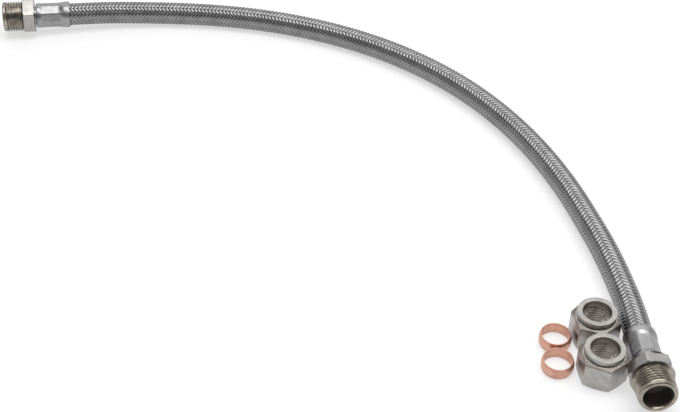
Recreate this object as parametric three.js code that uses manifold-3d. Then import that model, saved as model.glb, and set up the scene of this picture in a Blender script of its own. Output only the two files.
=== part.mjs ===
// Braided connecting hose with a crimped threaded fitting on each end. The compression nuts and
// olives of both ends are taken off and lie beside the near end. Millimetres, +Z up, table at z = 0.

import * as THREE from "three";
import { mergeVertices } from "three/addons/utils/BufferGeometryUtils.js";
import Module from "manifold-3d";

const wasm = await Module();
wasm.setup();

// Clearance between two pieces that touch on the real hose
const seatGap = 0.3;

// Pipe thread G 1/2, cut on the fittings and in the nuts
const threadMajor = 20.955;
const threadMinor = 18.631;

// Fitting: thread, mouth and the socket that takes a 15 mm pipe
const threadLength = 14.2;
const mouthChamfer = 0.85;
const seatMouth = 16.2;
const seatDepth = 1;
const socketBore = 15.2;
const socketDepth = 11;
const waterBore = 7;

// Hexagons of the fittings and of the nuts
const fittingAcrossFlats = 22;
const fittingHexLength = 7.6;
const nutAcrossFlats = 23.9;
const hexChamferInset = 0.2;
const hexChamferSlope = 0.5;

// Fitting: neck behind the hexagon and barbed tail inside the hose
const neckDiameter = 12.4;
const neckGap = 1.1;
const tailDiameter = 8.8;
const barbDiameter = 9.4;
const barbPitch = 4;
const barbCount = 4;
const tailLength = 22;

// Crimped ferrule: round shoulder, eight pressed flats, flared end with a turned-in lip
const ferruleWall = 0.8;
const ferruleEdge = 0.5;
const shoulderDiameter = 17.2;
const shoulderLength = 3;
const crimpAcrossFlats = 15.8;
const crimpFlats = 8;
const crimpLength = 11.5;
const crimpSlope = 1.6;
const flareDiameter = 18.2;
const flareSlope = 3;
const flareLength = 2.8;
const lipLength = 1.2;

// Hose
const braidDiameter = 15.6;
const braidWall = 0.7;
const linerBore = 10;
const hoseSides = 12;
const hoseSteps = 20;
const sleeveOverlap = 1.5;

// Compression nut
const nutHeight = 20;
const nutHole = 15.3;
const nutHoleDepth = 4;
const nutConeDepth = 1.7;
const nutMouthChamfer = 1;
const collarDiameter = 21.3;
const collarHeight = 2.6;
const collarEdge = 0.4;
const grooveDiameter = 20.3;
const grooveHeight = 0.8;

// Olive
const oliveBore = 15.2;
const oliveWall = 1.15;
const oliveEndWall = 0.5;
const oliveWidth = 7;
const oliveBevel = 2;

// Route of the hose between the two ferrules, far end first: x, y and the lift, which is 0 where the
// hose lies on the table and 1 at the height of a fitting.
const route = [
  [-159, 175.3, 0.73],
  [-131.6, 179.5, 0.44],
  [-104.1, 181.5, 0.16],
  [-76.4, 181.1, 0.03],
  [-48.6, 178.2, 0],
  [-20.9, 172.7, 0],
  [6.1, 164.5, 0],
  [32.1, 153.7, 0],
  [56.7, 140.3, 0],
  [79.5, 124.4, 0],
  [100.3, 106.2, 0],
  [119, 85.8, 0],
  [135.4, 63.4, 0],
  [149.5, 39.4, 0],
  [161.3, 14.1, 0],
  [170.9, -12.3, 0],
  [178.5, -39.3, 0],
  [185.1, -66.7, 0],
  [189.8, -94.4, 0],
  [192.2, -115.5, 0.03],
  [192.8, -137.3, 0.43],
];

// Turn of each hexagon and of each crimp about its own axis
const farTurns = { hexagon: 25, crimp: -15 };
const nearTurns = { hexagon: 12, crimp: 0 };
const frontNutTurn = 37;
const backNutTurn = 41;

// Loose pieces on the table: the front ones by x and y, the back ones by their direction from those
const frontNut = [170.9, -154.8];
const backNutDirection = 90.5;
const frontOlive = [148.4, -150.6];
const backOliveDirection = 87;
const looseGap = 0.7;

// Fineness of round pieces, and how far a cutter or a joined ring reaches past a face
const roundSides = 32;
const overrun = 1;

const degrees = Math.PI / 180;

const finishes = {
  nickel: { color: 0x969189, roughness: 0.32, metalness: 1 },
  stainless: { color: 0xb4b6b8, roughness: 0.28, metalness: 1 },
  wire: { color: 0x9b9da0, roughness: 0.35, metalness: 1 },
  copper: { color: 0xc8917a, roughness: 0.4, metalness: 1 },
  rubber: { color: 0x1c1c1d, roughness: 0.85, metalness: 0 },
};

// Heights along the axis of a fitting, from its mouth towards the hose
const hexBack = threadLength + fittingHexLength;
const ferruleStart = hexBack + neckGap;
const neckEnd = ferruleStart + ferruleWall;
const hoseCut = neckEnd + seatGap;
const tailEnd = neckEnd + tailLength;
const shoulderEnd = ferruleStart + shoulderLength;
const crimpStart = shoulderEnd + crimpSlope;
const crimpEnd = crimpStart + crimpLength;
const flareStart = crimpEnd + flareSlope;
const flareEnd = flareStart + flareLength;
const ferruleEnd = flareEnd + lipLength;

// Radii of the hose layers, and how deep each lies under the outside of the ferrule's crimp
const braidRadius = braidDiameter / 2;
const braidInner = braidRadius - braidWall;
const braidDepth = ferruleWall + seatGap;
const linerRadius = braidInner * Math.cos(Math.PI / hoseSides) - seatGap;
const linerDepth = braidDepth + braidWall + seatGap;
const lipRadius = braidRadius + seatGap + ferruleWall;

// A closed geometry as a solid that can be joined and cut
function solid(geometry) {
  const bare = geometry.clone();
  bare.deleteAttribute("normal");
  bare.deleteAttribute("uv");
  const merged = mergeVertices(bare, 1e-4);
  return new wasm.Manifold(
    new wasm.Mesh({
      numProp: 3,
      vertProperties: Float32Array.from(merged.attributes.position.array),
      triVerts: Uint32Array.from(merged.index.array),
    }),
  );
}

// The faces of a solid, back as a geometry
function geometryOf(shape) {
  const mesh = shape.getMesh();
  const geometry = new THREE.BufferGeometry();
  geometry.setAttribute("position", new THREE.BufferAttribute(mesh.vertProperties, 3));
  geometry.setIndex(new THREE.BufferAttribute(mesh.triVerts, 1));
  geometry.computeVertexNormals();
  return geometry;
}

// A turned ring: its outline is a closed loop of [radius, height], inner side first, going up outside
function turned(outline, sides = roundSides) {
  const loop = [...outline, outline[0]].map(([radius, height]) => new THREE.Vector2(radius, height));
  return new THREE.LatheGeometry(loop, sides).rotateX(Math.PI / 2);
}

// Corners of a regular polygon with one flat across the +Y side
function polygon(acrossFlats, sides) {
  const reach = acrossFlats / 2 / Math.cos(Math.PI / sides);
  return Array.from({ length: sides }, (_, i) => {
    const angle = Math.PI / 2 + (2 * Math.PI * (i + 0.5)) / sides;
    return new THREE.Vector2(reach * Math.cos(angle), reach * Math.sin(angle));
  });
}

// A hexagon bar from z = bottom to z = top with turned chamfers on its corners at both ends
function hexagonBar(acrossFlats, bottom, top) {
  const reach = acrossFlats / 2 / Math.cos(30 * degrees) + overrun;
  const flat = acrossFlats / 2 - hexChamferInset;
  const rise = (reach - flat) * hexChamferSlope;
  const bar = new THREE.ExtrudeGeometry(new THREE.Shape(polygon(acrossFlats, 6)), {
    depth: top - bottom,
    bevelEnabled: false,
  }).translate(0, 0, bottom);
  const loop = [
    [0, bottom],
    [flat, bottom],
    [reach, bottom + rise],
    [reach, top - rise],
    [flat, top],
    [0, top],
  ].map(([radius, height]) => new THREE.Vector2(radius, height));
  const blank = new THREE.LatheGeometry(loop, 2 * roundSides).rotateX(Math.PI / 2);
  return solid(bar).intersect(solid(blank));
}

// A plain round bar on the axis, to drill with
function drill(diameter, bottom, top) {
  const length = top - bottom;
  const bar = new THREE.CylinderGeometry(diameter / 2, diameter / 2, length, roundSides);
  return solid(bar.rotateX(Math.PI / 2).translate(0, 0, (top + bottom) / 2));
}

// The fitting is one turned piece: mouth at z = 0, tail along +Z
function fittingGeometry(hexTurn) {
  const threadRadius = threadMajor / 2;
  const barbStart = tailEnd - barbCount * barbPitch;
  const barbs = Array.from({ length: barbCount }, (_, i) => [
    [barbDiameter / 2, barbStart + i * barbPitch],
    [tailDiameter / 2, barbStart + (i + 1) * barbPitch],
  ]).flat();
  const body = turned([
    [waterBore / 2, tailEnd],
    [waterBore / 2, socketDepth],
    [socketBore / 2, socketDepth],
    [socketBore / 2, seatDepth],
    [seatMouth / 2, 0],
    [threadRadius - mouthChamfer, 0],
    [threadRadius, mouthChamfer],
    [threadRadius, threadLength],
    [neckDiameter / 2, threadLength],
    [neckDiameter / 2, neckEnd],
    [tailDiameter / 2, neckEnd],
    [tailDiameter / 2, barbStart],
    ...barbs,
  ]);
  const hexagon = hexagonBar(fittingAcrossFlats, threadLength, hexBack)
    .rotate([0, 0, hexTurn])
    .subtract(drill(neckDiameter - overrun, threadLength - overrun, hexBack + overrun));
  return geometryOf(solid(body).add(hexagon));
}

// Presses the flats of the crimp into a ring turned about Z, fading out towards both ends
function pressFlats(geometry) {
  const position = geometry.attributes.position;
  const step = (2 * Math.PI) / crimpFlats;
  const middle = (crimpStart + crimpEnd) / 2;
  const pressedReach = (crimpLength + crimpSlope) / 2;
  for (let i = 0; i < position.count; i += 1) {
    if (Math.abs(position.getZ(i) - middle) > pressedReach) continue;
    const angle = Math.atan2(position.getY(i), position.getX(i));
    const off = angle - Math.round(angle / step) * step;
    const reach = 1 / Math.cos(off);
    position.setX(i, position.getX(i) * reach);
    position.setY(i, position.getY(i) * reach);
  }
  return geometry;
}

// Outside of the ferrule moved inwards by an inset, from the fitting to the hose
function ferruleSide(inset) {
  return [
    [shoulderDiameter / 2 - inset, shoulderEnd],
    [crimpAcrossFlats / 2 - inset, crimpStart],
    [crimpAcrossFlats / 2 - inset, crimpEnd],
    [flareDiameter / 2 - inset, flareStart],
    [flareDiameter / 2 - inset, flareEnd],
    [lipRadius - inset, ferruleEnd],
  ];
}

function ferruleGeometry(crimpTurn) {
  const inside = ferruleSide(ferruleWall).reverse();
  const throat = neckDiameter / 2 + seatGap;
  const ferrule = pressFlats(
    turned([
      ...inside,
      [shoulderDiameter / 2 - ferruleWall, neckEnd],
      [throat, neckEnd],
      [throat, ferruleStart],
      [shoulderDiameter / 2 - ferruleEdge, ferruleStart],
      [shoulderDiameter / 2, ferruleStart + ferruleEdge],
      ...ferruleSide(0),
    ]),
  );
  return ferrule.rotateZ(crimpTurn * degrees);
}

// Squeezed end of a hose layer inside the ferrule, and on past its lip until the free hose takes over
function squeezedEnd(freeRadius, depthUnderFerrule, innerRadii) {
  const shoulderRadius = shoulderDiameter / 2 - depthUnderFerrule;
  const crimpRadius = crimpAcrossFlats / 2 - depthUnderFerrule;
  const top = ferruleEnd + sleeveOverlap;
  const [innerShoulder, innerCrimp, innerFree] = innerRadii;
  return turned([
    [innerFree, top],
    [innerFree, flareStart],
    [innerCrimp, crimpEnd],
    [innerCrimp, crimpStart],
    [innerShoulder, shoulderEnd],
    [innerShoulder, hoseCut],
    [shoulderRadius, hoseCut],
    [shoulderRadius, shoulderEnd],
    [crimpRadius, crimpStart],
    [crimpRadius, crimpEnd],
    [freeRadius, flareStart],
    [freeRadius, top],
  ], 2 * hoseSides);
}

function braidEndGeometry() {
  const depth = braidDepth + braidWall;
  const inner = [shoulderDiameter / 2 - depth, crimpAcrossFlats / 2 - depth, braidInner];
  return squeezedEnd(braidRadius, braidDepth, inner);
}

function linerEndGeometry() {
  const bore = linerBore / 2;
  return squeezedEnd(linerRadius, linerDepth, [bore, bore, bore]);
}

// Heights of a fitting's axis above the table at its hexagon, and of the hose where it lies
const fittingHeight = fittingAcrossFlats / 2 / Math.cos(30 * degrees);
const hoseHeight = braidDiameter / 2;

const routePoints = route.map(
  ([x, y, lift]) => new THREE.Vector3(x, y, hoseHeight + (fittingHeight - hoseHeight) * lift),
);
const routeCurve = new THREE.CatmullRomCurve3(routePoints, false, "centripetal");

// Where a fitting stands: its ferrule's end at the end of the route, its mouth pointing away
function endPlacement(end, next) {
  const inward = next.clone().sub(end).normalize();
  const side = new THREE.Vector3(0, 0, 1).cross(inward).normalize();
  const upward = inward.clone().cross(side);
  const mouth = end.clone().addScaledVector(inward, -ferruleEnd);
  return new THREE.Matrix4().makeBasis(side, upward, inward).setPosition(mouth);
}

const farPlacement = endPlacement(routePoints[0], routePoints[1]);
const nearPlacement = endPlacement(routePoints.at(-1), routePoints.at(-2));

// A layer of the hose: a ring section along the route, joined to its squeezed ends
function hoseLayer(outerRadius, innerRadius, endGeometry) {
  const ring = (radius) => polygon(2 * radius * Math.cos(Math.PI / hoseSides), hoseSides);
  const section = new THREE.Shape(ring(outerRadius));
  section.holes.push(new THREE.Path(ring(innerRadius).reverse()));
  const tube = new THREE.ExtrudeGeometry(section, {
    steps: hoseSteps,
    extrudePath: routeCurve,
    bevelEnabled: false,
  });
  const farEnd = endGeometry().applyMatrix4(farPlacement);
  const nearEnd = endGeometry().applyMatrix4(nearPlacement);
  return geometryOf(solid(tube).add(solid(farEnd)).add(solid(nearEnd)));
}

// The nut stands on its threaded mouth, collar up
function nutGeometry() {
  const hexTop = nutHeight - collarHeight - grooveHeight;
  const threadTop = nutHeight - nutHoleDepth - nutConeDepth;
  const hexagon = hexagonBar(nutAcrossFlats, 0, hexTop);
  const collarBottom = nutHeight - collarHeight;
  const collar = turned([
    [nutHole / 2, nutHeight],
    [nutHole / 2, hexTop - overrun],
    [grooveDiameter / 2, hexTop - overrun],
    [grooveDiameter / 2, collarBottom],
    [collarDiameter / 2, collarBottom + collarEdge],
    [collarDiameter / 2, nutHeight - collarEdge],
    [collarDiameter / 2 - collarEdge, nutHeight],
  ]);
  const cavity = new THREE.LatheGeometry(
    [
      [0, -overrun],
      [threadMinor / 2 + nutMouthChamfer + overrun, -overrun],
      [threadMinor / 2, nutMouthChamfer],
      [threadMinor / 2, threadTop],
      [nutHole / 2, threadTop + nutConeDepth],
      [nutHole / 2, nutHeight + overrun],
      [0, nutHeight + overrun],
    ].map(([radius, height]) => new THREE.Vector2(radius, height)),
    roundSides,
  ).rotateX(Math.PI / 2);
  return geometryOf(hexagon.add(solid(collar)).subtract(solid(cavity)));
}

// The olive is a barrel ring, bevelled towards both ends
function oliveGeometry() {
  const middle = oliveBore / 2 + oliveWall;
  const end = oliveBore / 2 + oliveEndWall;
  return turned([
    [oliveBore / 2, oliveWidth],
    [oliveBore / 2, 0],
    [end, 0],
    [middle, oliveBevel],
    [middle, oliveWidth - oliveBevel],
    [end, oliveWidth],
  ]);
}

function named(name, finish, geometry) {
  const mesh = new THREE.Mesh(geometry, new THREE.MeshStandardMaterial(finishes[finish]));
  mesh.name = name;
  return mesh;
}

// One end of the hose: its fitting and the ferrule crimped behind it
function hoseEnd(end, turns, placement) {
  const group = new THREE.Group();
  group.add(named(`${end}_fitting`, "nickel", fittingGeometry(turns.hexagon)));
  group.add(named(`${end}_ferrule`, "stainless", ferruleGeometry(turns.crimp)));
  group.applyMatrix4(placement);
  return group;
}

const hose = new THREE.Group();
hose.add(hoseEnd("far", farTurns, farPlacement));
hose.add(hoseEnd("near", nearTurns, nearPlacement));
hose.add(named("braid", "wire", hoseLayer(braidRadius, braidInner, braidEndGeometry)));
hose.add(named("liner", "rubber", hoseLayer(linerRadius, linerBore / 2, linerEndGeometry)));

// Distance from a hexagon's centre to its outline in a direction
function hexagonReach(acrossFlats, turn, direction) {
  const fromFlat = direction - turn - 30;
  return acrossFlats / 2 / Math.cos((fromFlat - 60 * Math.round(fromFlat / 60)) * degrees);
}

// The place a distance away in a direction
function away([x, y], direction, distance) {
  return [x + distance * Math.cos(direction * degrees), y + distance * Math.sin(direction * degrees)];
}

const nutPitch =
  hexagonReach(nutAcrossFlats, frontNutTurn, backNutDirection) +
  looseGap +
  hexagonReach(nutAcrossFlats, backNutTurn, backNutDirection + 180);
const backNut = away(frontNut, backNutDirection, nutPitch);
const backOlive = away(frontOlive, backOliveDirection, oliveBore + 2 * oliveWall + looseGap);

// A loose piece standing on the table
function stood(name, finish, geometry, [x, y], turn = 0) {
  const piece = named(name, finish, geometry);
  piece.rotation.z = turn * degrees;
  piece.position.set(x, y, 0);
  return piece;
}

hose.add(stood("front_nut", "nickel", nutGeometry(), frontNut, frontNutTurn));
hose.add(stood("back_nut", "nickel", nutGeometry(), backNut, backNutTurn));
hose.add(stood("front_olive", "copper", oliveGeometry(), frontOlive));
hose.add(stood("back_olive", "copper", oliveGeometry(), backOlive));

export default hose;
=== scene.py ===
# Braided hose with a crimped threaded fitting on each end, two compression nuts and two olives
import math

import bmesh
import bpy
from mathutils import Matrix, Vector


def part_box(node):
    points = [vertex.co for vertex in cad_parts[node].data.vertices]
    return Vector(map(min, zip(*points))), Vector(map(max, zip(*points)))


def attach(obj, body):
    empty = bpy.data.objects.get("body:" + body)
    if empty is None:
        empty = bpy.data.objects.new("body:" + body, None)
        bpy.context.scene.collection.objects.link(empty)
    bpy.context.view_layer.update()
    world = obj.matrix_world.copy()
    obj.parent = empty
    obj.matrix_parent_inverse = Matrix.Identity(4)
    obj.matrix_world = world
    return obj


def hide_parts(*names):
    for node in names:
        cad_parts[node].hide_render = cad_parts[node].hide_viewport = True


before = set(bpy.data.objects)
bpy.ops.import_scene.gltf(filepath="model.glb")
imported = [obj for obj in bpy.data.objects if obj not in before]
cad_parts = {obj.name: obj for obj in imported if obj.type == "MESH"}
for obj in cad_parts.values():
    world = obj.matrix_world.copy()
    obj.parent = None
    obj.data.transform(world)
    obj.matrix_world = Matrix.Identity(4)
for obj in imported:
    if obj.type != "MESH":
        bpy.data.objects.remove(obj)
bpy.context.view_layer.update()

# Sizes are in millimetres, as in the part's source, and each mesh is made in metres
MM = 0.001

# Pipe thread G 1/2
THREAD_MAJOR = 20.955
THREAD_MINOR = 18.631
THREAD_PITCH = 1.814
THREAD_RUNOUT = 0.5
CREST_FLATTENING = 1.5

# Fitting, heights along its axis from the mouth towards the hose
SEAT_MOUTH = 16.2
SEAT_DEPTH = 1
SOCKET_BORE = 15.2
SOCKET_DEPTH = 11
WATER_BORE = 7
RIM_CHAMFER = 0.55
LEAD_DIAMETER = 20.3
LEAD_END = 1.9
RELIEF_DIAMETER = 18.8
RELIEF_START = 13.8
HEX_FRONT = 14.2
HEX_BACK = 21.8
FITTING_FLATS = 22
NECK_DIAMETER = 12.4
NECK_END = 23.7
TAIL_DIAMETER = 8.8
TAIL_END = 45.7
BARB_DIAMETER = 9.4
BARB_PITCH = 4
BARB_COUNT = 4
BARB_FACE = 0.05
HEX_TURNS = {"far": 25, "near": 12}
FITTING_EASING = 0.18

# Ferrule, heights from the same mouth
FERRULE_START = 22.9
FERRULE_WALL = 0.8
SHOULDER_DIAMETER = 17.2
SHOULDER_END = 25.9
CRIMP_START = 27.5
CRIMP_END = 39
CRIMP_FLATS = 15.8
CRIMP_COUNT = 8
CRIMP_SHARPNESS = 0.86
CRIMP_TURNS = {"far": -15, "near": 0}
FLARE_START = 42
FLARE_END = 44.8
FLARE_DIAMETER = 18.2
LIP_DIAMETER = 17.8
FERRULE_END = 46
THROAT_DIAMETER = 13
FERRULE_EASING = 1.1
FERRULE_INSIDE_EASING = 0.4

# Nut, heights from the table
NUT_FLATS = 23.9
NUT_HEIGHT = 20
HEX_TOP = 16.6
COLLAR_BOTTOM = 17.4
COLLAR_DIAMETER = 21.3
GROOVE_DIAMETER = 20.3
NUT_HOLE = 15.3
HOLE_EDGE_HEIGHT = 0.35
HOLE_EDGE_WIDTH = 0.25
NUT_THREAD_END = 14.3
NUT_RELIEF_HEIGHT = 0.4
NUT_RELIEF_DEPTH = 0.3
NUT_CONE_END = 16
NUT_MOUTH = 20.7
NUT_TURNS = {"front_nut": 37, "back_nut": 41}
NUT_EASING = 0.3

# How far the end faces of the hexagons reach past their flats, to where the chamfer of the corners starts
FRONT_FACE_PAST = 0.9
BACK_FACE_PAST = 0.7
NUT_TOP_PAST = -0.9
NUT_BOTTOM_PAST = -0.5

# Olive
OLIVES = ("front_olive", "back_olive")
OLIVE_DIAMETER = 17.5
OLIVE_BORE = 15.2
OLIVE_WIDTH = 7
OLIVE_END_DIAMETER = 16.2
OLIVE_BEVEL = 2
OLIVE_EASING = 0.5

# Hose
HOSE_CUT = 24
BRAID_DIAMETER = 15.6
LINER_DIAMETER = 13.1
LINER_BORE = 10
LINER_SIDES = 32
LINER_RINGS = 160

# Depth of each layer below the outside of the ferrule that grips it
BRAID_DEPTH = 1.1
LINER_DEPTH = 2.1

# Weave: ribbons each way, and the section of one as shares of its width and of half its thickness
CARRIERS = 10
AXIAL_REPEAT = 2.6
LEAD = CARRIERS * AXIAL_REPEAT
RIBBON_WIDTH = 2.0
RIBBON_THICKNESS = 0.3
RIBBON_SECTION = [(-0.5, -1.3), (-0.3, 0.25), (0, 1), (0.3, 0.25), (0.5, -1.3)]
WEAVE_HEIGHT = 0.3
WEAVE_SLOPE = math.atan2(math.pi * (BRAID_DIAMETER - 2 * RIBBON_THICKNESS), LEAD)
WIRES_PER_RIBBON = 8
STEPS_PER_CROSSING = 2
BRAID_TURN = math.radians(-27)

# Route of the hose between the ferrules in metres, far end first: x, y and the lift from the table,
# which is 1 at the height of a fitting's axis
ROUTE = [
    (-0.1590, 0.1753, 0.73),
    (-0.1316, 0.1795, 0.44),
    (-0.1041, 0.1815, 0.16),
    (-0.0764, 0.1811, 0.03),
    (-0.0486, 0.1782, 0),
    (-0.0209, 0.1727, 0),
    (0.0061, 0.1645, 0),
    (0.0321, 0.1537, 0),
    (0.0567, 0.1403, 0),
    (0.0795, 0.1244, 0),
    (0.1003, 0.1062, 0),
    (0.1190, 0.0858, 0),
    (0.1354, 0.0634, 0),
    (0.1495, 0.0394, 0),
    (0.1613, 0.0141, 0),
    (0.1709, -0.0123, 0),
    (0.1785, -0.0393, 0),
    (0.1851, -0.0667, 0),
    (0.1898, -0.0944, 0),
    (0.1922, -0.1155, 0.03),
    (0.1928, -0.1373, 0.43),
]
SAMPLES_PER_POINT = 24

# Fineness of the meshes
ROUND_SIDES = 96
SMOOTH_ANGLE = math.radians(28)
FINE_STEP = 0.2
CRIMP_STEP = 0.8
EASING_STEPS = 3
FERRULE_EASING_STEPS = 5
OLIVE_EASING_STEPS = 4
EASING_SHARE = 0.45

# Hexagons
SECTOR = math.radians(60)
HALF_SECTOR = math.radians(30)
CORNER_ROUND = 0.5
CORNER_SHARES = (-1, -0.5, 0, 0.5)
FLAT_STEPS = 15
CHAMFER_SLOPE = 2
CHAMFER_OVERSHOOT = 0.05

# Noise in the materials: repeats in a millimetre, and detail
DRIFT = (0.22, 4.0)
SPECK = (2.6, 5.0)
DENTS = (0.35, 1.0)
TURNING = (7.0, 2.0)
GRAIN = (9.0, 3.0)
RUBBER_TONE = (1.5, 3.0)
RUBBER_GRAIN = (6.0, 3.0)
WIRE_DRIFT = (0.12, 3.0)
WIRE_SPECK = (1.4, 2.0)

# Places of the finishes in the list that a piece is given
PLATE, WORN, PAINTED_SHADE, PAINTED_LIGHT = 0, 1, 2, 3

# Camera, at the photograph's viewing angle
SENSOR = 36
LENS = 68.8
CAMERA_PLACE = (0.0336, -0.6136, 0.516)
CAMERA_PITCH = 41

# Studio, in metres and watts
FLOOR_HALF = 6.0
FLOOR_TONE = 0.45
FLOOR_GLOW = 0.58
SURROUND_AXIS = (0, -0.35, 1)
SURROUND_PALE = 0.7
SURROUND_DARK = 0.22
SURROUND_DARK_FROM = 0.7
LAMPS = {
    "top_box": {"place": (0.3, 0.0, 1.3), "aim": (0.3, 0.0, 0), "size": (1.6, 0.9), "power": 15},
    "back_box": {"place": (0, 1.7, 1.6), "aim": (0, 0, 0), "size": (3.8, 1.2), "power": 14},
}


def make_camera():
    data = bpy.data.cameras.new("camera")
    data.sensor_width = SENSOR
    data.lens = LENS
    camera = bpy.data.objects.new("camera", data)
    camera.location = CAMERA_PLACE
    camera.rotation_euler = (math.radians(90 - CAMERA_PITCH), 0, 0)
    bpy.context.collection.objects.link(camera)
    bpy.context.scene.camera = camera


def smooth(share):
    """A share of 0 to 1 with a soft start and end."""
    share = max(0.0, min(1.0, share))
    return share * share * (3 - 2 * share)


# The hose's centreline
def route_points():
    low = BRAID_DIAMETER / 2 * MM
    high = FITTING_FLATS / 2 / math.cos(HALF_SECTOR) * MM
    return [Vector((x, y, low + (high - low) * lift)) for x, y, lift in ROUTE]


def spline(p0, p1, p2, p3, t):
    """A point of the centripetal Catmull-Rom curve between p1 and p2."""
    d0, d1, d2 = (math.sqrt((b - a).length) for a, b in ((p0, p1), (p1, p2), (p2, p3)))
    start = ((p1 - p0) / d0 - (p2 - p0) / (d0 + d1) + (p2 - p1) / d1) * d1
    end = ((p2 - p1) / d1 - (p3 - p1) / (d1 + d2) + (p3 - p2) / d2) * d1
    bend = -3 * p1 + 3 * p2 - 2 * start - end
    twist = 2 * p1 - 2 * p2 + start + end
    return p1 + start * t + bend * t * t + twist * t * t * t


def centreline():
    """Points along the hose from one cut to the other, through both ferrules."""
    points = route_points()
    before = 2 * points[0] - points[1]
    after = 2 * points[-1] - points[-2]
    held = [before, *points, after]
    line = []
    for i in range(len(points) - 1):
        for step in range(SAMPLES_PER_POINT):
            line.append(spline(*held[i:i + 4], step / SAMPLES_PER_POINT))
    line.append(points[-1])
    inside = (FERRULE_END - HOSE_CUT) * MM
    first = line[0] + (points[0] - points[1]).normalized() * inside
    last = line[-1] + (points[-1] - points[-2]).normalized() * inside
    return [first, *line, last]


class Path:
    """The centreline, with a place and two axes across it at each distance along it in millimetres."""

    def __init__(self, points):
        self.points = points
        self.reach = [0.0]
        for a, b in zip(points, points[1:]):
            self.reach.append(self.reach[-1] + (b - a).length / MM)
        self.length = self.reach[-1]
        self.index = 0

    def at(self, distance):
        i = self.index
        while i > 0 and self.reach[i] > distance:
            i -= 1
        while i < len(self.points) - 2 and self.reach[i + 1] < distance:
            i += 1
        self.index = i
        span = self.reach[i + 1] - self.reach[i]
        share = (distance - self.reach[i]) / span
        place = self.points[i].lerp(self.points[i + 1], share)
        ahead = self.direction(i).lerp(self.direction(i + 1), share).normalized()
        side = Vector((0, 0, 1)).cross(ahead).normalized()
        return place, side, ahead.cross(side)

    def direction(self, i):
        low = max(0, i - 1)
        high = min(len(self.points) - 1, i + 1)
        return (self.points[high] - self.points[low]).normalized()


# Meshes
def finish_piece(name, vertices, faces, finishes, face_finish, node, place=None):
    """A shaded mesh object that stands for a CAD node, which it hides, and rides with the root body."""
    mesh = bpy.data.meshes.new(name)
    mesh.from_pydata(vertices, [], faces)
    for finish in finishes:
        mesh.materials.append(finish)
    mesh.polygons.foreach_set("material_index", face_finish)
    shell = bmesh.new()
    shell.from_mesh(mesh)
    bmesh.ops.recalc_face_normals(shell, faces=shell.faces)
    shell.to_mesh(mesh)
    shell.free()
    mesh.shade_smooth()
    mesh.set_sharp_from_angle(angle=SMOOTH_ANGLE)
    mesh.update()
    piece = bpy.data.objects.new(name, mesh)
    bpy.context.collection.objects.link(piece)
    if place is not None:
        piece.matrix_world = place
    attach(piece, "root")
    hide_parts(node)
    return piece


def eased(outline, radius, steps=EASING_STEPS):
    """An open outline of (radius, height, form, finish) with each corner eased by a short arc."""
    soft = [outline[0]]
    for before, corner, after in zip(outline, outline[1:], outline[2:]):
        here = Vector(corner[:2])
        back = Vector(before[:2]) - here
        ahead = Vector(after[:2]) - here
        reach = min(radius, back.length * EASING_SHARE, ahead.length * EASING_SHARE)
        start = here + back.normalized() * reach
        end = here + ahead.normalized() * reach
        for i in range(steps + 1):
            t = i / steps
            point = start * (1 - t) ** 2 + here * 2 * t * (1 - t) + end * t * t
            style = before if t < 0.5 else corner
            soft.append((point.x, point.y, *style[2:]))
    return [*soft, outline[-1]]


def split(outline, longest, forms):
    """The same outline with the stretches of the given forms cut into short steps."""
    fine = []
    for a, b in zip(outline, outline[1:]):
        count = 1
        if a[2] in forms:
            count = max(1, math.ceil(math.dist(a[:2], b[:2]) / longest))
        for i in range(count):
            t = i / count
            fine.append((a[0] + (b[0] - a[0]) * t, a[1] + (b[1] - a[1]) * t, a[2], a[3]))
    return [*fine, outline[-1]]


def styled(points, form, finish):
    """Outline points of (radius, height) given a form and a finish."""
    return [(radius, height, form, finish) for radius, height in points]


def round_angles():
    return [2 * math.pi * i / ROUND_SIDES for i in range(ROUND_SIDES)]


def corner_middle(flats):
    """Distance from a hexagon's axis to the middle of a corner's rounding."""
    return (flats / 2 - CORNER_ROUND) / math.cos(HALF_SECTOR)


def corner_spread(flats):
    """Angle from a hexagon's corner to where its rounding meets the flat."""
    along = corner_middle(flats) + CORNER_ROUND * math.cos(HALF_SECTOR)
    return math.atan2(CORNER_ROUND * math.sin(HALF_SECTOR), along)


def hexagon_angles(flats, turn):
    """Angles round a hexagon, close together on its rounded corners."""
    spread = corner_spread(flats)
    angles = []
    for k in range(6):
        corner = math.radians(turn) + k * SECTOR
        angles += [corner + spread * share for share in CORNER_SHARES]
        for i in range(FLAT_STEPS):
            angles.append(corner + spread + (SECTOR - 2 * spread) * i / FLAT_STEPS)
    return angles


def hexagon_reach(flats, turn, angle):
    """Radius of a hexagon with rounded corners in one direction."""
    off = (angle - math.radians(turn)) % SECTOR
    off = min(off, SECTOR - off)
    if off >= corner_spread(flats):
        return flats / 2 / math.cos(HALF_SECTOR - off)
    middle = corner_middle(flats)
    return middle * math.cos(off) + math.sqrt(CORNER_ROUND ** 2 - (middle * math.sin(off)) ** 2)


def thread_reach(angle, height):
    """Radius of the right-hand pipe thread: a cosine with its crests and roots flattened."""
    middle = (THREAD_MAJOR + THREAD_MINOR) / 4
    depth = (THREAD_MAJOR - THREAD_MINOR) / 4
    wave = CREST_FLATTENING * math.cos(2 * math.pi * height / THREAD_PITCH - angle)
    return middle + depth * max(-1.0, min(1.0, wave))


def ring_piece(name, outline, angles, reach, finishes, node, place):
    """A ring: its closed outline of (radius, height, form, finish) carried round the axis."""
    rows = outline[:-1] if outline[0][:2] == outline[-1][:2] else outline
    count = len(angles)
    vertices = []
    for radius, height, form, _ in rows:
        for angle in angles:
            r = reach(form, radius, height, angle) * MM
            vertices.append((r * math.cos(angle), r * math.sin(angle), height * MM))
    faces = []
    face_finish = []
    for i in range(len(rows)):
        low = i * count
        high = (i + 1) % len(rows) * count
        for j in range(count):
            k = (j + 1) % count
            faces.append((low + j, low + k, high + k, high + j))
            face_finish.append(rows[i][3])
    return finish_piece(name, vertices, faces, finishes, face_finish, node, place)


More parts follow.
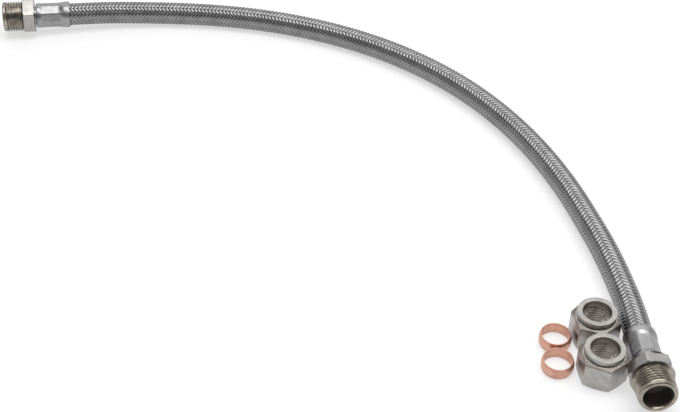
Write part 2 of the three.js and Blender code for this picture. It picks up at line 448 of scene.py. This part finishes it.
# Material nodes
def new_material(name):
    material = bpy.data.materials.new(name)
    material.use_nodes = True
    tree = material.node_tree
    tree.nodes.clear()
    output = tree.nodes.new("ShaderNodeOutputMaterial")
    shader = tree.nodes.new("ShaderNodeBsdfPrincipled")
    tree.links.new(shader.outputs["BSDF"], output.inputs["Surface"])
    return material, tree, shader


def add_node(tree, kind, settings=None, **inputs):
    """A node with its inputs set or linked by name, or by number as _0 and _1."""
    node = tree.nodes.new(kind)
    for key, value in (settings or {}).items():
        setattr(node, key, value)
    for key, value in inputs.items():
        socket = node.inputs[int(key[1:])] if key[0] == "_" else node.inputs[key]
        if isinstance(value, bpy.types.NodeSocket):
            tree.links.new(value, socket)
        else:
            socket.default_value = value
    return node


def grey(tone):
    return tone, tone, tone


def millimetres(tree):
    """Object coordinates of the piece, in millimetres."""
    place = add_node(tree, "ShaderNodeTexCoord").outputs["Object"]
    scaled = add_node(tree, "ShaderNodeVectorMath", {"operation": "SCALE"}, _0=place, Scale=1 / MM)
    return scaled.outputs[0]


def noise(tree, vector, kind):
    scale, detail = kind
    node = add_node(tree, "ShaderNodeTexNoise", Vector=vector, Scale=scale, Detail=detail)
    return node.outputs["Fac"]


def ramp(tree, fac, low, high, start=0.35, end=0.65):
    """A colour that runs from low to high as a factor goes from start to end."""
    node = add_node(tree, "ShaderNodeValToRGB", Fac=fac)
    node.color_ramp.elements[0].position = start
    node.color_ramp.elements[0].color = (*low, 1)
    node.color_ramp.elements[1].position = end
    node.color_ramp.elements[1].color = (*high, 1)
    return node.outputs["Color"]


def mapped(tree, fac, low, high, start=0.0):
    """A number that runs from low to high as a factor goes from start to 1."""
    node = add_node(tree, "ShaderNodeMapRange", Value=fac)
    node.inputs["From Min"].default_value = start
    node.inputs["To Min"].default_value = low
    node.inputs["To Max"].default_value = high
    return node.outputs["Result"]


def bump(tree, height, distance, normal=None):
    """A normal raised by a height of 0 to 1 over a distance in millimetres."""
    node = add_node(tree, "ShaderNodeBump", Height=height, Distance=distance * MM, Strength=1.0)
    if normal is not None:
        tree.links.new(normal, node.inputs["Normal"])
    return node.outputs["Normal"]


def metal(name, dark, light, roughness, turned=0.0, dents=0.0, grain=0.0):
    """A metal with drifting tone, uneven gloss, soft dents, turning marks round the axis and grain."""
    material, tree, shader = new_material(name)
    place = millimetres(tree)
    drift = noise(tree, place, DRIFT)
    speck = noise(tree, place, SPECK)
    tree.links.new(ramp(tree, drift, dark, light), shader.inputs["Base Color"])
    tree.links.new(mapped(tree, speck, *roughness), shader.inputs["Roughness"])
    shader.inputs["Metallic"].default_value = 1.0
    normal = None
    if dents:
        normal = bump(tree, noise(tree, place, DENTS), dents)
    if turned:
        parts = add_node(tree, "ShaderNodeSeparateXYZ", Vector=place).outputs
        flat = add_node(tree, "ShaderNodeCombineXYZ", X=parts["X"], Y=parts["Y"]).outputs[0]
        radius = add_node(tree, "ShaderNodeVectorMath", {"operation": "LENGTH"}, _0=flat)
        marks = add_node(tree, "ShaderNodeCombineXYZ", X=radius.outputs["Value"], Z=parts["Z"]).outputs[0]
        normal = bump(tree, noise(tree, marks, TURNING), turned, normal)
    if grain:
        normal = bump(tree, noise(tree, place, GRAIN), grain, normal)
    if normal is not None:
        tree.links.new(normal, shader.inputs["Normal"])
    return material


def rubber_finish():
    material, tree, shader = new_material("rubber")
    place = millimetres(tree)
    tone = ramp(tree, noise(tree, place, RUBBER_TONE), low=grey(0.008), high=grey(0.016))
    tree.links.new(tone, shader.inputs["Base Color"])
    tree.links.new(bump(tree, noise(tree, place, RUBBER_GRAIN), distance=0.03), shader.inputs["Normal"])
    shader.inputs["Roughness"].default_value = 0.75
    return material


def wire_finish():
    """Wires side by side across each ribbon, in the UV map's U, with painted shade darkening the gaps
    between them.
    """
    material, tree, shader = new_material("wire")
    uv = add_node(tree, "ShaderNodeUVMap", {"uv_map": "ribbon"}).outputs["UV"]
    parts = add_node(tree, "ShaderNodeSeparateXYZ", Vector=uv)
    turns = add_node(
        tree,
        "ShaderNodeMath",
        {"operation": "MULTIPLY"},
        _0=parts.outputs["X"],
        _1=2 * math.pi * WIRES_PER_RIBBON,
    )
    wave = add_node(tree, "ShaderNodeMath", {"operation": "COSINE"}, _0=turns.outputs[0]).outputs[0]
    gaps = mapped(tree, wave, low=0.0, high=1.0, start=-1.0)
    place = millimetres(tree)
    drift = noise(tree, place, WIRE_DRIFT)
    wire_tone = ramp(tree, drift, low=(0.25, 0.25, 0.254), high=(0.33, 0.328, 0.33), start=0.3, end=0.7)
    # Painted shade: the wire colour darkens to 0.6 of itself in the gaps between neighbouring wires
    gap_shade = ramp(tree, gaps, low=(1, 1, 1), high=(0.6, 0.6, 0.6), start=0.55, end=1.0)
    shade = add_node(tree, "ShaderNodeMix", {"data_type": "RGBA", "blend_type": "MULTIPLY"})
    shade.inputs["Factor"].default_value = 1.0
    tree.links.new(wire_tone, shade.inputs["A"])
    tree.links.new(gap_shade, shade.inputs["B"])
    tree.links.new(shade.outputs["Result"], shader.inputs["Base Color"])
    speck = noise(tree, place, WIRE_SPECK)
    tree.links.new(mapped(tree, speck, low=0.2, high=0.28), shader.inputs["Roughness"])
    round_wires = mapped(tree, gaps, low=1.0, high=0.0)
    tree.links.new(bump(tree, round_wires, distance=0.01), shader.inputs["Normal"])
    shader.inputs["Metallic"].default_value = 1.0
    return material


# The hose
def layer_radius(depth, free_radius, distance, length):
    """Outer radius of a hose layer: free, or a depth below a ferrule's outside where one grips it."""
    height = min(distance, length - distance) + HOSE_CUT
    shoulder = SHOULDER_DIAMETER / 2 - depth
    crimp = CRIMP_FLATS / 2 - depth
    stations = [
        (HOSE_CUT, shoulder),
        (SHOULDER_END, shoulder),
        (CRIMP_START, crimp),
        (CRIMP_END, crimp),
        (FLARE_START, free_radius),
    ]
    for (low, a), (high, b) in zip(stations, stations[1:]):
        if height <= high:
            return a + (b - a) * smooth((height - low) / (high - low))
    return free_radius


def weave_lift(column):
    """Radial place of a ribbon: +1 where it floats over two others, -1 where it runs under two."""
    return math.cos(math.pi / 2 * (column - 0.5))


def ribbon_section(path, hand, carrier, distance):
    """Points across one ribbon at a distance along the hose."""
    half = RIBBON_THICKNESS / 2
    crossing = 2 * CARRIERS * distance / LEAD
    column = 2 * carrier + crossing if hand == 1 else 2 * carrier - crossing - 2
    outer = layer_radius(BRAID_DEPTH, BRAID_DIAMETER / 2, distance, path.length)
    middle = outer - half - WEAVE_HEIGHT * (1 - weave_lift(column))
    squeeze = outer / (BRAID_DIAMETER / 2)
    turn = BRAID_TURN + 2 * math.pi * (carrier / CARRIERS + hand * distance / LEAD)
    points = []
    for share, rise in RIBBON_SECTION:
        aside = share * RIBBON_WIDTH * squeeze
        along = min(path.length, max(0.0, distance - hand * aside * math.sin(WEAVE_SLOPE)))
        place, side, up = path.at(along)
        angle = turn + aside * math.cos(WEAVE_SLOPE) / middle
        outward = side * math.cos(angle) + up * math.sin(angle)
        points.append(place + outward * (middle + rise * half) * MM)
    return points


def ribbon_faces(first, steps, hand):
    """Faces of one closed ribbon, whose sections follow each other from its first vertex."""
    wide = len(RIBBON_SECTION)
    faces = []
    for step in range(steps):
        low = first + step * wide
        for j in range(wide):
            k = (j + 1) % wide
            quad = (low + j, low + k, low + k + wide, low + j + wide)
            faces.append(quad if hand == 1 else quad[::-1])
    start = [first + j for j in range(wide)]
    end = [first + steps * wide + j for j in range(wide)]
    return [*faces, tuple(start[::-hand]), tuple(end[::hand])]


def make_braid(path, finish):
    """Ribbons of wire wound both ways, each over two and under two, as one woven tube."""
    steps = math.ceil(2 * CARRIERS * path.length / LEAD * STEPS_PER_CROSSING)
    vertices = []
    faces = []
    across = []
    for hand in (1, -1):
        for carrier in range(CARRIERS):
            faces += ribbon_faces(len(vertices), steps, hand)
            for step in range(steps + 1):
                distance = path.length * step / steps
                vertices += ribbon_section(path, hand, carrier, distance)
                across += [(share + 0.5, distance) for share, _ in RIBBON_SECTION]
    plain = [PLATE] * len(faces)
    piece = finish_piece("woven_braid", vertices, faces, [finish], plain, "braid")
    layer = piece.data.uv_layers.new(name="ribbon")
    corners = [0] * len(piece.data.loops)
    piece.data.loops.foreach_get("vertex_index", corners)
    layer.data.foreach_set("uv", [value for corner in corners for value in across[corner]])
    return piece


def make_liner(path, finish):
    """The rubber tube under the braid."""
    vertices = []
    for inner in (False, True):
        for ring in range(LINER_RINGS + 1):
            distance = path.length * ring / LINER_RINGS
            place, side, up = path.at(distance)
            radius = layer_radius(LINER_DEPTH, LINER_DIAMETER / 2, distance, path.length)
            if inner:
                radius = LINER_BORE / 2
            for i in range(LINER_SIDES):
                angle = 2 * math.pi * i / LINER_SIDES
                outward = side * math.cos(angle) + up * math.sin(angle)
                vertices.append(place + outward * radius * MM)
    inside = (LINER_RINGS + 1) * LINER_SIDES
    last = LINER_RINGS * LINER_SIDES
    faces = []
    for ring in range(LINER_RINGS):
        for i in range(LINER_SIDES):
            k = (i + 1) % LINER_SIDES
            low = ring * LINER_SIDES
            high = low + LINER_SIDES
            faces.append((low + i, low + k, high + k, high + i))
            faces.append((inside + high + i, inside + high + k, inside + low + k, inside + low + i))
    for i in range(LINER_SIDES):
        k = (i + 1) % LINER_SIDES
        faces.append((i, inside + i, inside + k, k))
        faces.append((last + k, inside + last + k, inside + last + i, last + i))
    plain = [PLATE] * len(faces)
    return finish_piece("rubber_liner", vertices, faces, [finish], plain, "liner")


# The fittings
def end_place(end, inward):
    """Where a fitting stands: Z runs from its mouth to the hose, and Y is up."""
    side = Vector((0, 0, 1)).cross(inward).normalized()
    upward = inward.cross(side)
    mouth = end - inward * FERRULE_END * MM
    place = Matrix((side, upward, inward)).transposed().to_4x4()
    place.translation = mouth
    return place


def chamfer(flats, past, face, into):
    """Turned chamfer of a hexagon's corners, from the edge of its end face at a height into the body."""
    start = flats / 2 + past
    end = flats / 2 / math.cos(HALF_SECTOR) + CHAMFER_OVERSHOOT
    return (start, face), (end, face + into * (end - start) / CHAMFER_SLOPE)


def fitting_outline():
    """Section of a fitting: its bores, mouth and thread, hexagon, neck and barbed tail."""
    front = chamfer(FITTING_FLATS, FRONT_FACE_PAST, HEX_FRONT, 1)
    back = chamfer(FITTING_FLATS, BACK_FACE_PAST, HEX_BACK, -1)
    bores = [
        # The water bore and the socket take the painted-shade finish, darker where shade falls deep in
        # the hole
        (WATER_BORE / 2, TAIL_END, "round", PAINTED_SHADE),
        (WATER_BORE / 2, SOCKET_DEPTH, "round", PAINTED_SHADE),
        (SOCKET_BORE / 2, SOCKET_DEPTH, "round", PAINTED_SHADE),
        (SOCKET_BORE / 2, SEAT_DEPTH, "round", WORN),
        (SEAT_MOUTH / 2, 0, "round", WORN),
    ]
    mouth = [
        (LEAD_DIAMETER / 2 - RIM_CHAMFER, 0, "round", WORN),
        (LEAD_DIAMETER / 2, RIM_CHAMFER, "round", WORN),
        (LEAD_DIAMETER / 2, LEAD_END, "round", WORN),
        (THREAD_MAJOR / 2, LEAD_END + THREAD_RUNOUT, "thread", WORN),
        (THREAD_MAJOR / 2, RELIEF_START - THREAD_RUNOUT, "thread", WORN),
        (RELIEF_DIAMETER / 2, RELIEF_START, "round", WORN),
        (RELIEF_DIAMETER / 2, HEX_FRONT, "round", PLATE),
    ]
    hexagon = styled([front[0], front[1], back[1]], "hexagon", PLATE)
    barb_start = TAIL_END - BARB_COUNT * BARB_PITCH
    tail = [
        back[0],
        (NECK_DIAMETER / 2, HEX_BACK),
        (NECK_DIAMETER / 2, NECK_END),
        (TAIL_DIAMETER / 2, NECK_END),
        (TAIL_DIAMETER / 2, barb_start),
    ]
    for i in range(BARB_COUNT):
        tail.append((BARB_DIAMETER / 2, barb_start + i * BARB_PITCH + BARB_FACE))
        tail.append((TAIL_DIAMETER / 2, barb_start + (i + 1) * BARB_PITCH))
    end = [(WATER_BORE / 2, TAIL_END, "round", PAINTED_SHADE)]
    soft = eased([*bores, *mouth, *hexagon, *styled(tail, "round", PLATE), *end], FITTING_EASING)
    return split(soft, FINE_STEP, ("hexagon", "thread"))


def make_fitting(end, place, finishes):
    turn = HEX_TURNS[end]

    def reach(form, radius, height, angle):
        if form == "hexagon":
            return min(radius, hexagon_reach(FITTING_FLATS, turn, angle))
        if form == "thread":
            return min(radius, thread_reach(angle, height))
        return radius

    name = end + "_threaded_end"
    angles = hexagon_angles(FITTING_FLATS, turn)
    node = end + "_fitting"
    return ring_piece(name, fitting_outline(), angles, reach, finishes, node, place)


def ferrule_outline(inset):
    """The ferrule's outside moved inwards, from its shoulder to its lip at the hose."""
    points = [
        (SHOULDER_DIAMETER / 2, SHOULDER_END),
        (CRIMP_FLATS / 2, CRIMP_START),
        (CRIMP_FLATS / 2, CRIMP_END),
        (FLARE_DIAMETER / 2, FLARE_START),
        (FLARE_DIAMETER / 2, FLARE_END),
        (LIP_DIAMETER / 2, FERRULE_END),
    ]
    return [(radius - inset, height, "crimp", PLATE) for radius, height in points]


def crimp_share(height):
    """How far the flats are pressed in: 0 on the round stretches and 1 along the crimp."""
    rise = (height - SHOULDER_END) / (CRIMP_START - SHOULDER_END)
    fall = (FLARE_START - height) / (FLARE_START - CRIMP_END)
    return smooth(min(rise, fall))


def crimp_swell(height, angle):
    """How far the ferrule stands out from the middle of a flat, with soft corners between the flats."""
    step = 2 * math.pi / CRIMP_COUNT
    off = angle - round(angle / step) * step
    flat = 1 / math.cos(off)
    corner = 1 / math.cos(step / 2)
    soft = min(flat, 1 + (corner - 1) * CRIMP_SHARPNESS)
    return 1 + (soft - 1) * crimp_share(height)


def make_ferrule(end, place, finishes):
    throat = (THROAT_DIAMETER / 2, FERRULE_START, "round", PLATE)
    shoulder = (SHOULDER_DIAMETER / 2, FERRULE_START, "crimp", PLATE)
    outside = eased([throat, shoulder, *ferrule_outline(0)], FERRULE_EASING, FERRULE_EASING_STEPS)
    inside = eased(
        [
            *ferrule_outline(FERRULE_WALL)[::-1],
            (SHOULDER_DIAMETER / 2 - FERRULE_WALL, NECK_END, "round", PLATE),
            (THROAT_DIAMETER / 2, NECK_END, "round", PLATE),
            throat,
        ],
        FERRULE_INSIDE_EASING,
    )
    outline = split([*outside, *inside], CRIMP_STEP, ("crimp",))
    turn = math.radians(CRIMP_TURNS[end])

    def reach(form, radius, height, angle):
        if form != "crimp":
            return radius
        return radius * crimp_swell(height, angle - turn)

    name = end + "_crimped_sleeve"
    node = end + "_ferrule"
    return ring_piece(name, outline, round_angles(), reach, finishes, node, place)


# The loose pieces
def nut_outline():
    """Section of a nut: its thread, cone and hole, collar, groove and hexagon."""
    top = chamfer(NUT_FLATS, NUT_TOP_PAST, HEX_TOP, -1)
    bottom = chamfer(NUT_FLATS, NUT_BOTTOM_PAST, 0, 1)
    inside = [
        # The mouth cone and the thread take the painted-light finish
        (NUT_MOUTH / 2, 0, "inner", PAINTED_LIGHT),
        (THREAD_MINOR / 2, (NUT_MOUTH - THREAD_MINOR) / 2, "inner", PAINTED_LIGHT),
        (THREAD_MINOR / 2, NUT_THREAD_END - NUT_RELIEF_HEIGHT, "round", PAINTED_LIGHT),
        # The relief and cone above the nut's thread take the painted-shade finish
        (THREAD_MINOR / 2 + NUT_RELIEF_DEPTH, NUT_THREAD_END, "round", PAINTED_SHADE),
        (NUT_HOLE / 2, NUT_CONE_END, "round", PAINTED_SHADE),
        (NUT_HOLE / 2, NUT_HEIGHT - HOLE_EDGE_HEIGHT, "round", PLATE),
        (NUT_HOLE / 2 + HOLE_EDGE_WIDTH, NUT_HEIGHT, "round", PLATE),
    ]
    collar = [
        (COLLAR_DIAMETER / 2, NUT_HEIGHT, "round", PLATE),
        (COLLAR_DIAMETER / 2, COLLAR_BOTTOM, "round", PLATE),
        (GROOVE_DIAMETER / 2, COLLAR_BOTTOM, "round", WORN),
        (GROOVE_DIAMETER / 2, HEX_TOP, "round", PLATE),
    ]
    hexagon = [
        # Painted shade: the chamfer round the top of the hexagon takes the darker bore finish, to hold
        # back the lamp's reflection there
        (*top[0], "hexagon", PAINTED_SHADE),
        (*top[1], "hexagon", PLATE),
        (*bottom[1], "hexagon", PLATE),
        (*bottom[0], "round", PLATE),
        (NUT_MOUTH / 2, 0, "round", PLATE),
    ]
    soft = eased([*inside, *collar, *hexagon], NUT_EASING)
    return split(soft, FINE_STEP, ("hexagon", "inner"))


def make_nut(node, place, finishes):
    def reach(form, radius, height, angle):
        if form == "hexagon":
            return min(radius, hexagon_reach(NUT_FLATS, 0, angle))
        if form == "inner":
            return max(radius, thread_reach(angle, height))
        return radius

    name = "compression_" + node
    angles = hexagon_angles(NUT_FLATS, 0)
    return ring_piece(name, nut_outline(), angles, reach, finishes, node, place)


def make_olive(node, place, finishes):
    points = [
        (OLIVE_BORE / 2, OLIVE_WIDTH / 2),
        (OLIVE_BORE / 2, OLIVE_WIDTH),
        (OLIVE_END_DIAMETER / 2, OLIVE_WIDTH),
        (OLIVE_DIAMETER / 2, OLIVE_WIDTH - OLIVE_BEVEL),
        (OLIVE_DIAMETER / 2, OLIVE_BEVEL),
        (OLIVE_END_DIAMETER / 2, 0),
        (OLIVE_BORE / 2, 0),
        (OLIVE_BORE / 2, OLIVE_WIDTH / 2),
    ]
    outline = eased(styled(points, "round", PLATE), OLIVE_EASING, OLIVE_EASING_STEPS)

    def reach(form, radius, height, angle):
        return radius

    return ring_piece("copper_" + node, outline, round_angles(), reach, finishes, node, place)


def on_table(node, turn=0):
    """The middle of a loose piece's node on the table, turned about Z."""
    low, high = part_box(node)
    middle = Matrix.Translation(((low[0] + high[0]) / 2, (low[1] + high[1]) / 2, 0))
    return middle @ Matrix.Rotation(math.radians(turn), 4, "Z")


# Floor and light
def make_floor():
    """A pale floor, which the camera and reflections see a little brighter than its light makes it."""
    mesh = bpy.data.meshes.new("floor")
    signs = ((-1, -1), (1, -1), (1, 1), (-1, 1))
    mesh.from_pydata([(x * FLOOR_HALF, y * FLOOR_HALF, 0) for x, y in signs], [], [(0, 1, 2, 3)])
    floor = bpy.data.objects.new("floor", mesh)
    bpy.context.collection.objects.link(floor)
    material, tree, shader = new_material("floor")
    shader.inputs["Base Color"].default_value = (*grey(FLOOR_TONE), 1)
    shader.inputs["Roughness"].default_value = 0.9
    shader.inputs["Specular IOR Level"].default_value = 0.0
    rays = add_node(tree, "ShaderNodeLightPath").outputs
    seen = add_node(
        tree,
        "ShaderNodeMath",
        {"operation": "ADD", "use_clamp": True},
        _0=rays["Is Camera Ray"],
        _1=rays["Is Glossy Ray"],
    )
    glow = add_node(tree, "ShaderNodeMath", {"operation": "MULTIPLY"}, _0=seen.outputs[0], _1=FLOOR_GLOW)
    shader.inputs["Emission Color"].default_value = (1, 1, 1, 1)
    tree.links.new(glow.outputs[0], shader.inputs["Emission Strength"])
    mesh.materials.append(material)


def make_lamp(name, place, aim, size, power):
    data = bpy.data.lights.new(name, "AREA")
    data.shape = "RECTANGLE"
    data.size, data.size_y = size
    data.energy = power
    lamp = bpy.data.objects.new(name, data)
    lamp.location = place
    lamp.rotation_euler = (Vector(aim) - Vector(place)).to_track_quat("-Z", "Y").to_euler()
    bpy.context.collection.objects.link(lamp)


def make_world():
    """A pale surround behind the hose that darkens overhead and towards the viewer."""
    world = bpy.data.worlds.new("studio")
    bpy.context.scene.world = world
    world.use_nodes = True
    tree = world.node_tree
    tree.nodes.clear()
    output = tree.nodes.new("ShaderNodeOutputWorld")
    background = tree.nodes.new("ShaderNodeBackground")
    tree.links.new(background.outputs["Background"], output.inputs["Surface"])
    place = add_node(tree, "ShaderNodeTexCoord").outputs["Generated"]
    height = add_node(
        tree,
        "ShaderNodeVectorMath",
        {"operation": "DOT_PRODUCT"},
        _0=place,
        _1=SURROUND_AXIS,
    )
    tone = ramp(
        tree,
        height.outputs["Value"],
        low=grey(SURROUND_PALE),
        high=grey(SURROUND_DARK),
        start=0.0,
        end=SURROUND_DARK_FROM,
    )
    tree.links.new(tone, background.inputs["Color"])


make_camera()

path = Path(centreline())
make_braid(path, wire_finish())
make_liner(path, rubber_finish())

nickel = metal(
    "nickel_plate",
    dark=(0.36, 0.348, 0.334),
    light=(0.44, 0.427, 0.408),
    roughness=(0.26, 0.38),
    turned=0.012,
    grain=0.006,
)
worn = metal(
    "thread_plate",
    dark=(0.26, 0.232, 0.198),
    light=(0.42, 0.385, 0.335),
    roughness=(0.22, 0.34),
    turned=0.01,
)
# Painted light: a lighter copy of the metal for the nut's inner thread and mouth cone, so that the deep
# thread looks lit
cut = metal(
    "thread_painted_light",
    dark=(0.43, 0.398, 0.378),
    light=(0.65, 0.608, 0.58),
    roughness=(0.28, 0.38),
    turned=0.015,
)
# Painted shade: a darker copy of the metal for the fittings' deep bores, the relief and cone inside the
# nuts and the nuts' top chamfers
shade_metal = metal(
    "painted_shade_metal",
    dark=(0.224, 0.196, 0.178),
    light=(0.346, 0.308, 0.282),
    roughness=(0.4, 0.55),
    turned=0.02,
)
stainless = metal(
    "pressed_steel",
    dark=(0.31, 0.308, 0.312),
    light=(0.37, 0.368, 0.372),
    roughness=(0.3, 0.42),
    dents=0.2,
    grain=0.008,
)
copper = metal(
    "copper",
    dark=(0.56, 0.31, 0.23),
    light=(0.7, 0.41, 0.31),
    roughness=(0.36, 0.5),
    turned=0.015,
    grain=0.01,
)

points = route_points()
ends = {
    "far": end_place(points[0], (points[1] - points[0]).normalized()),
    "near": end_place(points[-1], (points[-2] - points[-1]).normalized()),
}
for end, place in ends.items():
    make_fitting(end, place, [nickel, worn, shade_metal])
    make_ferrule(end, place, [stainless])
for node, turn in NUT_TURNS.items():
    make_nut(node, on_table(node, turn), [nickel, worn, shade_metal, cut])
for node in OLIVES:
    make_olive(node, on_table(node), [copper])

make_floor()
make_world()
for name, lamp in LAMPS.items():
    make_lamp(name, **lamp)
bpy.context.scene.view_settings.view_transform = "Standard"
